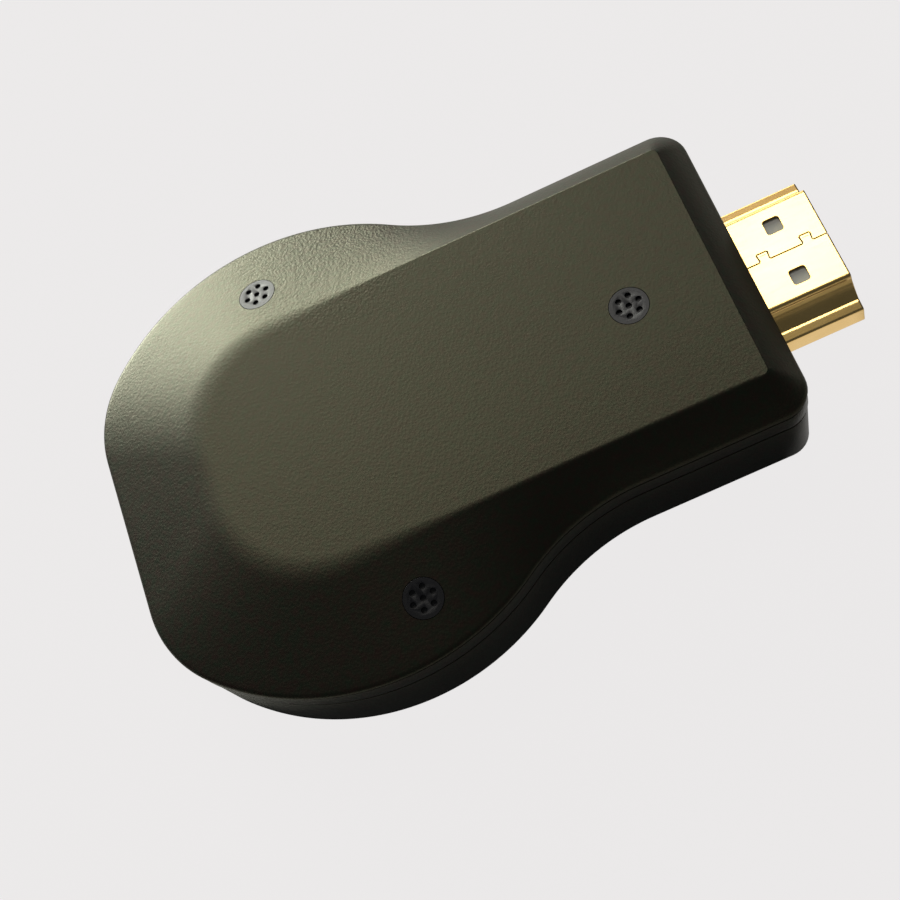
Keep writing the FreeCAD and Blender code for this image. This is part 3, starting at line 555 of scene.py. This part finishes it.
def rounded_loop(corners):
    """A closed loop in Y and Z from corners and their radii, each corner held by a point on either side."""
    points = []
    for number, (y, z, radius) in enumerate(corners):
        corner = Vector((y, z))
        before = Vector(corners[number - 1][:2])
        after = Vector(corners[(number + 1) % len(corners)][:2])
        points.append(tuple(corner + (before - corner).normalized() * (radius + CORNER_HOLD)))
        points += fillet(before, corner, after, radius, 5)
        points.append(tuple(corner + (after - corner).normalized() * (radius + CORNER_HOLD)))
    return points


def both_sides(half):
    """The corners of one side, and then the same ones mirrored to the other side."""
    return half + [(-y, z, radius) for y, z, radius in reversed(half)]


def sheet_tube(name, section, root, mouth):
    """A tube of folded sheet along X, the edge of its mouth rounded over."""
    back = math.copysign(1.0, root - mouth)
    outer = section(0.0)
    inner = section(SHEET)
    stations = [
        (root, outer),
        (mouth + back * MOUTH_HOLD, outer),
        (mouth + back * MOUTH_ROUND, outer),
        (mouth + back * MOUTH_ROUND / 4, section(SHEET * 0.09)),
        (mouth, section(SHEET * 0.32)),
        (mouth + back * MOUTH_ROUND, inner),
        (root, inner),
    ]
    return skin(name, [[(x, y, z) for y, z in loop] for x, loop in stations], closed=True)


# Video plug: heights from its underside, half widths from its middle, lengths from its tip
SHELF_HEIGHT = 2.32
SHELF_HALF = 6.2
FLANK_FOOT_HALF = 5.9
FLANK_HALF = 5.3
PLUG_TOP_HALF = 4.72
LATCH_BACK = 3.75
LATCH_SIDE = 2.7
LATCH_HALF = 0.78
SEAM_Y = -0.12
SEAM_HALF = 0.075
TAB_PLACES = (PLUG_HIGH.x - 5.7, PLUG_HIGH.x - 1.8)
# Half of a dovetail tab: how far each point is from the tab's middle, and its Y
HALF_TAB = [(0.50, SEAM_Y), (0.43, -0.02), (0.50, 0.62), (0.42, 0.70)]
MARK_LOW = Vector((-0.26, 0.24, -0.05))
MARK_HIGH = Vector((0.26, 0.46, 0.5))


def plug_section(inset):
    """The plug's outline across X: wide below, a narrow shelf, a hollow flank and the narrower flat top."""
    bottom = PLUG_LOW.z + inset
    top = PLUG_HIGH.z - inset
    wide = PLUG_HIGH.y - inset
    shelf = PLUG_LOW.z + SHELF_HEIGHT - inset
    narrow = PLUG_TOP_HALF - inset
    return rounded_loop(both_sides([
        (wide, bottom, 0.4 - inset * 0.7),
        (wide, shelf - 0.12, 0.16 - inset * 0.3),
        (SHELF_HALF - inset, shelf, 0.07),
        (FLANK_FOOT_HALF - inset, shelf, 0.06),
        (FLANK_HALF - inset, shelf + 0.7, 0.3),
        (narrow + 0.08, shelf + 1.5, 0.25),
        (narrow, top, 0.26 - inset * 0.5),
    ]))


def make_seam():
    """The thin gap between the two edges of the folded sheet, with its two dovetail tabs."""
    path = [(NOSE_X - 1.0, SEAM_Y)]
    for x in TAB_PLACES:
        path += [(x - along, y) for along, y in HALF_TAB]
        path += [(x + along, y) for along, y in reversed(HALF_TAB)]
    path.append((PLUG_HIGH.x + 1.0, SEAM_Y))
    low = PLUG_HIGH.z - SHEET * 2
    high = PLUG_HIGH.z + SHEET
    rings = []
    for number, (x, y) in enumerate(path):
        before = Vector(path[max(number - 1, 0)])
        after = Vector(path[min(number + 1, len(path) - 1)])
        along = (after - before).normalized()
        across = Vector((-along.y, along.x)) * SEAM_HALF
        rings.append([(x - across.x, y - across.y, low), (x + across.x, y + across.y, low),
                      (x + across.x, y + across.y, high), (x - across.x, y - across.y, high)])
    return skin("plug_seam", rings)


def make_plug_shell():
    """The plug's sheet with its two latch windows, its seam and the pressed mark beside each tab."""
    shell = sheet_tube("video_plug_sheet", plug_section, PLUG_LOW.x, PLUG_HIGH.x)
    for side in (-1, 1):
        middle = Vector((PLUG_HIGH.x - LATCH_BACK, side * LATCH_SIDE, PLUG_HIGH.z))
        reach = Vector((LATCH_HALF, LATCH_HALF, SHEET * 2))
        cut(shell, rounded_box("latch_window", middle - reach, middle + reach, 0.3, "Z"))
    cut(shell, make_seam())
    for x in TAB_PLACES:
        place = Vector((x, 0.0, PLUG_HIGH.z))
        cut(shell, rounded_box("tab_mark", place + MARK_LOW, place + MARK_HIGH, 0.08, "Z", 2))
    return smooth(shell, 40.0)


plug_shell = make_plug_shell()
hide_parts("video_plug_shell")


# Far end: power socket, mode button and light guide
SOCKET_LOW, SOCKET_HIGH = [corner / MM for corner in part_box("power_socket_shell")]
SOCKET_SLANT = 0.9
SOCKET_CORNER = 0.42
FLANGE_X = FLAT_X + 2.15


def socket_section(inset):
    """The socket's outline across X: a rounded rectangle with its two lower corners cut off."""
    middle = (SOCKET_LOW.y + SOCKET_HIGH.y) / 2
    half = (SOCKET_HIGH.y - SOCKET_LOW.y) / 2 - inset
    top = SOCKET_HIGH.z - inset
    bottom = SOCKET_LOW.z + inset
    slant = SOCKET_SLANT - inset / 2
    corner = SOCKET_CORNER - inset * 0.7
    side = [(half, top, corner), (half, bottom + slant, corner), (half - slant, bottom, corner)]
    return rounded_loop([(middle + y, z, radius) for y, z, radius in both_sides(side)])


def make_button():
    """The cap in its window, rounded all round, and the flange that keeps it behind the wall."""
    cap = rounded_box("mode_button_cap", (CAP_LOW.x, CAP_Y[0], CAP_Z[0]),
                      (FLANGE_X + 0.2, CAP_Y[1], CAP_Z[1]), 0.4)
    soften(cap, 0.18, 3, 60.0)
    fuse(cap, rounded_box("flange", (FLANGE_X, CAP_LOW.y, CAP_LOW.z), tuple(CAP_HIGH), 0.2))
    return smooth(cap, 40.0)


def make_light_guide():
    """A short clear rod, its front edge rounded."""
    low, high = [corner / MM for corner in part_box("status_light_guide")]
    middle = ((low.y + high.y) / 2, (low.z + high.z) / 2)
    radius = (high.y - low.y) / 2
    front = [(0.15, radius), (0.05, radius - 0.04), (0.0, radius - 0.14)]
    stations = [(high.x, radius)] + [(low.x + back, reach) for back, reach in front]
    rings = []
    for x, reach in stations:
        rings.append([(x, y, z) for y, z in arc_points(middle, reach, 0, math.tau, 48)])
    return smooth(skin("status_light_rod", rings), 40.0)


socket_shell = smooth(sheet_tube("power_socket_sheet", socket_section, SOCKET_HIGH.x, SOCKET_LOW.x), 40.0)
button = make_button()
light_guide = make_light_guide()
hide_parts("power_socket_shell")
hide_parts("mode_button")
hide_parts("status_light_guide")


# Nodes
class Wire:
    """A shader socket that works in plain sums: each operator adds one Math node."""

    def __init__(self, nodes, socket):
        self.nodes = nodes
        self.socket = socket

    def __add__(self, other):
        return self.nodes.maths("ADD", self, other)

    def __sub__(self, other):
        return self.nodes.maths("SUBTRACT", self, other)

    def __rsub__(self, other):
        return self.nodes.maths("SUBTRACT", other, self)

    def __mul__(self, other):
        return self.nodes.maths("MULTIPLY", self, other)

    __radd__ = __add__
    __rmul__ = __mul__


class Nodes:
    """The nodes of a material or of the world."""

    def __init__(self, tree):
        self.tree = tree

    def node(self, kind, settings, inputs, output=0):
        """Add a node, set it up, give its sockets their values or links, and hand back one of its outputs."""
        made = self.tree.nodes.new(kind)
        for key, value in settings.items():
            setattr(made, key, value)
        for key, value in inputs.items():
            self.feed(made.inputs[key], value)
        return Wire(self, made.outputs[output]) if made.outputs else None

    def feed(self, socket, value):
        if isinstance(value, Wire):
            self.tree.links.new(value.socket, socket)
        else:
            socket.default_value = value

    def maths(self, operation, first, second):
        return self.node("ShaderNodeMath", {"operation": operation}, {0: first, 1: second})

    def share(self, value, start, end):
        """0 where a value is at the start, 1 where it is at the end, and no less and no more beyond them."""
        sockets = {"Value": value, "From Min": start, "From Max": end}
        return self.node("ShaderNodeMapRange", {}, sockets, "Result")

    def near(self, place, spot, edge, core):
        """1 where a place is within the core round a spot, falling to 0 at the edge."""
        away = self.node("ShaderNodeVectorMath", {"operation": "DISTANCE"}, {0: place, 1: spot}, "Value")
        return self.share(away, edge, core)


class Finish(Nodes):
    """A material being made: its Principled shader, and patterns that follow the object's own coordinates."""

    def __init__(self, name, **constants):
        self.material = bpy.data.materials.new(name)
        self.material.use_nodes = True
        super().__init__(self.material.node_tree)
        self.shader = self.tree.nodes["Principled BSDF"]
        self.place = self.node("ShaderNodeTexCoord", {}, {}, "Object")
        self.give(**constants)

    def give(self, **inputs):
        """Set or link sockets of the shader, whose names are written with _ for each space."""
        for socket, value in inputs.items():
            self.feed(self.shader.inputs[socket.replace("_", " ")], value)

    def mapped(self, **sockets):
        """The object's coordinates, turned or drawn out by a Mapping node."""
        return self.node("ShaderNodeMapping", {}, {"Vector": self.place, **sockets})

    def noise(self, size, detail=2.0, roughness=0.5, place=None):
        """Noise whose features are about a size in millimetres."""
        sockets = {"Vector": place or self.place, "Scale": 1.0 / (size * MM)}
        sockets.update(Detail=detail, Roughness=roughness)
        return self.node("ShaderNodeTexNoise", {}, sockets, "Fac")

    def cells(self, size):
        """Small cells about a size in millimetres: 0 at their middles, rising to their edges."""
        sockets = {"Vector": self.mapped(Rotation=(0.3, 0.6, 0.2)), "Scale": 1.0 / (size * MM)}
        return self.node("ShaderNodeTexVoronoi", {}, sockets, "Distance")

    def mix(self, factor, first, second):
        """A colour between two colours: sockets 6 and 7 and output 2 are the Mix node's own for colours."""
        sockets = {0: factor, 6: (*first, 1.0), 7: (*second, 1.0)}
        return self.node("ShaderNodeMix", {"data_type": "RGBA"}, sockets, 2)

    def bump(self, height, depth):
        """A bump whose full height is a depth in millimetres."""
        self.give(Normal=self.node("ShaderNodeBump", {}, {"Height": height, "Distance": depth * MM}))


# Finishes
OLIVE_SHEEN = (1.0, 0.99, 0.62, 1.0)
# The far shoulder by the neck, where the mould's grain stands out most, and how far that reaches
COARSE_SPOT = Vector((HEAD_X + 5.5, 19.5, 8.5)) * MM
COARSE_REACH = 12.0 * MM


def grained_plastic(name, dark, light, roughness, depth, sparkle=0.0):
    """Moulded plastic with a fine spark-eroded grain, deeper round one spot by the sparkle given."""
    finish = Finish(name, Specular_Tint=OLIVE_SHEEN, IOR=1.5)
    grain = finish.noise(0.16, roughness=0.6, place=finish.mapped(Rotation=(0.5, 0.35, 0.7)))
    speckle = finish.noise(0.6)
    cloud = finish.noise(9.0)
    height = grain * 0.5 + finish.cells(0.27) * 0.5
    if sparkle:
        height = height * (finish.near(finish.place, COARSE_SPOT, COARSE_REACH, 0.0) * sparkle + 1.0)
    finish.bump(height, depth)
    finish.give(Base_Color=finish.mix((speckle - 0.5) * 2.2 + 0.5 + (cloud - 0.5) * 0.4, dark, light),
                Roughness=roughness + (grain - 0.5) * 0.16 + (cloud - 0.5) * 0.05)
    return finish.material


def plated(name, dark, light, roughness, streaks=0.25):
    """Plated sheet with faint rolling marks along X."""
    finish = Finish(name, Metallic=1.0)
    lines = finish.noise(0.12, place=finish.mapped(Scale=(0.06, 1.0, 1.0)))
    cloud = finish.noise(2.4, 3.0, 0.55)
    finish.bump(lines, 0.0022)
    finish.give(Base_Color=finish.mix(cloud, dark, light),
                Roughness=roughness + lines * (streaks * 0.2) + cloud * 0.06)
    return finish.material


def plain_moulding(name, dark, light, roughness, depth=0.006):
    """Moulded plastic, resin or ceramic with an even fine grain."""
    finish = Finish(name)
    grain = finish.noise(0.2, 3.0, 0.6)
    cloud = finish.noise(1.6)
    finish.bump(grain, depth)
    finish.give(Base_Color=finish.mix(grain * 0.5 + cloud * 0.5, dark, light),
                Roughness=roughness + (grain - 0.5) * 0.12)
    return finish.material


def laminate(name, dark, light):
    """Solder mask over the glass weave."""
    finish = Finish(name, Coat_Roughness=0.15)
    weave = finish.node("ShaderNodeTexWave", {"wave_type": "BANDS"},
                        {"Vector": finish.place, "Scale": 1.0 / (0.9 * MM), "Distortion": 1.2})
    cloud = finish.noise(3.0)
    finish.bump(weave * 0.5 + cloud * 0.5, 0.004)
    finish.give(Base_Color=finish.mix(weave * 0.4 + cloud * 0.6, dark, light),
                Roughness=0.3 + cloud * 0.1, Coat_Weight=0.3 + cloud * 0.1)
    return finish.material


FINISHES = {
    "case_cover": grained_plastic(
        "olive_black_case", (0.001, 0.008, 0.006), (0.012, 0.0015, 0.005), 0.4, 0.019, sparkle=4.2),
    "vent_plastic": plain_moulding("grey_vent_plastic", (0.004, 0.004, 0.006), (0.008, 0.008, 0.011), 0.44),
    "plug_plating": plated("gold_plating", (0.80, 0.52, 0.17), (0.93, 0.66, 0.27), 0.14),
    "plug_plastic": plain_moulding("grey_plug_body", (0.36, 0.37, 0.33), (0.46, 0.47, 0.42), 0.3),
    "contact_plating": plated("contact_gold", (0.78, 0.54, 0.22), (0.9, 0.68, 0.34), 0.25),
    "socket_steel": plated("tinned_steel", (0.5, 0.5, 0.51), (0.66, 0.66, 0.66), 0.28),
    "socket_plastic": plain_moulding("black_socket_body", (0.012, 0.012, 0.012), (0.03, 0.03, 0.03), 0.5),
    "board_laminate": laminate("green_board", (0.008, 0.06, 0.02), (0.02, 0.12, 0.045)),
    "chip_resin": plain_moulding("chip_resin", (0.01, 0.01, 0.011), (0.028, 0.028, 0.03), 0.55, 0.008),
    "shield_tin": plated("shield_tin", (0.55, 0.55, 0.54), (0.72, 0.72, 0.7), 0.3),
    "screw_steel": plated("zinc_screw", (0.42, 0.42, 0.43), (0.6, 0.6, 0.61), 0.32),
    "spreader_aluminium": plated("spreader_aluminium", (0.6, 0.6, 0.61), (0.76, 0.76, 0.77), 0.35, 0.6),
    "pad_silicone": plain_moulding("pad_silicone", (0.25, 0.33, 0.42), (0.33, 0.42, 0.5), 0.6),
    "ceramic": plain_moulding("tan_ceramic", (0.4, 0.31, 0.2), (0.55, 0.44, 0.3), 0.45),
    "ferrite": plain_moulding("dark_ferrite", (0.03, 0.03, 0.032), (0.06, 0.06, 0.064), 0.6, 0.01),
    "button_plastic": grained_plastic(
        "button_plastic", (0.008, 0.008, 0.006), (0.014, 0.014, 0.01), 0.4, 0.01),
    "clear_plastic": plain_moulding("milky_light_guide", (0.62, 0.64, 0.63), (0.75, 0.77, 0.76), 0.25, 0.003),
}


def dress(piece, slot_name):
    """Give a piece the finish of one of the record's material slots."""
    piece.data.materials.clear()
    piece.data.materials.append(FINISHES[slot_name])


SLOTS = {part["node"]: part["material_slot"] for part in frame["record"]["subparts"]}
for node_name, node in NODES.items():
    dress(node, SLOTS[node_name])
OWN_PIECES = [
    (top_cover, "case_cover", "casing"),
    (bottom_cover, "case_cover", "casing"),
    (plug_shell, "plug_plating", "casing"),
    (socket_shell, "socket_steel", "casing"),
    (light_guide, "clear_plastic", "casing"),
    (button, "button_plastic", "button"),
]
OWN_PIECES += [(disc, "vent_plastic", "casing") for disc in vent_discs]
for piece, slot_name, body in OWN_PIECES:
    dress(piece, slot_name)
    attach(piece, body)


# Studio
BACKDROP = (0.856, 0.84, 0.84)
FLOOR_SIZE = 4.0
FLOOR_Z = -0.00002
# What the camera sees of the floor: its own glow, and a little that the lamps light and the object shades
FLOOR_GLOW = 0.96
FLOOR_LIT = (0.02, 0.02, 0.02)
# What the object gets back from the floor, changing along X: pale beside the head, and dull past the nose, a
# painted shade that darkens the nose's slopes
BOUNCE_PALE = (0.85, 0.84, 0.83)
BOUNCE_PAINTED_SHADE = (0.52, 0.5, 0.48)
BOUNCE_RANGE = (10 * MM, 50 * MM)
# A painted glow on the floor, seen by glossy rays only, that the plug mirrors in its near side as a painted
# reflection
REFLECTION_GLOW_SPOT = Vector((28.5, -8.8, 0.0)) * MM
REFLECTION_GLOW_EDGE = 9 * MM
REFLECTION_GLOW_CORE = 4 * MM
SURROUND = (0.92, 0.97, 1.0)
SURROUND_STRENGTH = 0.08
LAMP_DISTANCE = 0.8
LAMP_SIZE = 0.28


class Surround(Nodes):
    """The emptied nodes of the floor or of the world, which look paler to the camera than they light."""

    def __init__(self, tree):
        super().__init__(tree)
        tree.nodes.clear()

    def ray(self, kind):
        """1 for rays of one kind, 0 for all others."""
        return self.node("ShaderNodeLightPath", {}, {}, kind)

    def matte(self, colour):
        return self.node("ShaderNodeBsdfDiffuse", {}, {"Color": (*colour, 1.0)})

    def blend(self, factor, first, second):
        """The first shader where the factor is 0, the second where it is 1."""
        return self.node("ShaderNodeMixShader", {}, {0: factor, 1: first, 2: second})


def backdrop_material():
    """A pale floor: mostly its own brightness to the camera, with the soft shadow of the lamps in it. In
    bounces it holds painted shade past the nose and a painted glow that the plug mirrors.
    """
    material = bpy.data.materials.new("pale_floor")
    material.use_nodes = True
    surface = Surround(material.node_tree)
    place = surface.node("ShaderNodeTexCoord", {}, {}, "Object")
    along = surface.node("ShaderNodeSeparateXYZ", {}, {0: place}, "X")
    glow = surface.node("ShaderNodeEmission", {}, {"Color": (*BACKDROP, 1.0), "Strength": FLOOR_GLOW})
    seen = surface.node("ShaderNodeAddShader", {}, {0: glow, 1: surface.matte(FLOOR_LIT)})
    # Painted shade: past the nose the floor is dulled in bounces only, which the camera never sees
    painted_shade_share = surface.share(along, *BOUNCE_RANGE)
    bounce = surface.blend(painted_shade_share, surface.matte(BOUNCE_PALE), surface.matte(BOUNCE_PAINTED_SHADE))
    # A painted glow round one spot, for glossy rays only: the plug's near side shows it as a painted
    # reflection
    painted_reflection = surface.ray("Is Glossy Ray") * surface.near(place, REFLECTION_GLOW_SPOT, REFLECTION_GLOW_EDGE, REFLECTION_GLOW_CORE)
    unseen = surface.blend(painted_reflection, bounce, glow)
    through = surface.ray("Is Camera Ray") + surface.ray("Is Transmission Ray")
    surface.node("ShaderNodeOutputMaterial", {}, {"Surface": surface.blend(through, unseen, seen)})
    return material


def world_light():
    """An even, dim surround that the camera sees as the pale backdrop."""
    world = bpy.data.worlds.new("studio_surround")
    bpy.context.scene.world = world
    world.use_nodes = True
    sky = Surround(world.node_tree)
    dim = sky.node("ShaderNodeBackground", {}, {"Color": (*SURROUND, 1.0), "Strength": SURROUND_STRENGTH})
    pale = sky.node("ShaderNodeBackground", {}, {"Color": (*BACKDROP, 1.0)})
    sky.node("ShaderNodeOutputWorld", {}, {"Surface": sky.blend(sky.ray("Is Camera Ray"), dim, pale)})


def facing(azimuth, elevation, distance, target, roll=0.0):
    """Where a thing stands that looks at a target. Its azimuth runs from +X towards +Y, in degrees."""
    turn = math.radians(azimuth)
    rise = math.radians(elevation)
    away = Vector((math.cos(turn) * math.cos(rise), math.sin(turn) * math.cos(rise), math.sin(rise)))
    aim = away.to_track_quat("Z", "Y").to_matrix().to_4x4()
    return Matrix.Translation(target + away * distance) @ aim @ Matrix.Rotation(math.radians(roll), 4, "Z")


def area_lamp(name, azimuth, elevation, power, colour, size=LAMP_SIZE):
    """A square soft lamp that faces the object."""
    light = bpy.data.lights.new(name, "AREA")
    light.shape = "SQUARE"
    light.size = size
    light.energy = power
    light.color = colour
    lamp = bpy.data.objects.new(name, light)
    bpy.context.scene.collection.objects.link(lamp)
    lamp.matrix_world = facing(azimuth, elevation, LAMP_DISTANCE, Vector())


deselect()
bpy.ops.mesh.primitive_plane_add(size=FLOOR_SIZE, location=(0, 0, FLOOR_Z))
floor = bpy.context.object
floor.name = "studio_floor"
floor.data.materials.append(backdrop_material())
world_light()
area_lamp("low_lamp", 119, 10, 6.3, (0.98, 1.0, 0.9))
area_lamp("key_lamp", 100, 25, 3.4, (0.98, 1.0, 0.9))
area_lamp("high_lamp", 114, 57, 0.78, (1.0, 0.935, 0.86))
area_lamp("plug_lamp", 70, 60, 0.38, (1.0, 0.96, 0.9), 0.13)
area_lamp("rim_lamp", 86, 16, 1.1, (1.0, 0.98, 0.92))
area_lamp("ledge_lamp", 80, 42, 0.08, (1.0, 0.88, 0.8), 0.2)
area_lamp("top_lamp", 54, 77, 0.032, (1.0, 0.95, 0.8), 0.16)


# Camera: the photograph's place, found by fitting the outline of the case and the plug
CAMERA_AZIMUTH = -79.072
CAMERA_ELEVATION = 62.457
CAMERA_ROLL = -33.849
CAMERA_TARGET = Vector((-4.63, -0.46, 0.0)) * MM
CAMERA_DISTANCE = 152.39 * MM
FOCAL_LENGTH = 67.57
SENSOR_WIDTH = 36.0
NEAREST_SEEN = 5 * MM


def add_camera():
    data = bpy.data.cameras.new("photo_camera")
    data.lens = FOCAL_LENGTH
    data.sensor_width = SENSOR_WIDTH
    data.clip_start = NEAREST_SEEN
    camera = bpy.data.objects.new("photo_camera", data)
    bpy.context.scene.collection.objects.link(camera)
    camera.matrix_world = facing(
        CAMERA_AZIMUTH, CAMERA_ELEVATION, CAMERA_DISTANCE, CAMERA_TARGET, CAMERA_ROLL)
    bpy.context.scene.camera = camera


add_camera()
bpy.context.scene.view_settings.view_transform = "Standard"
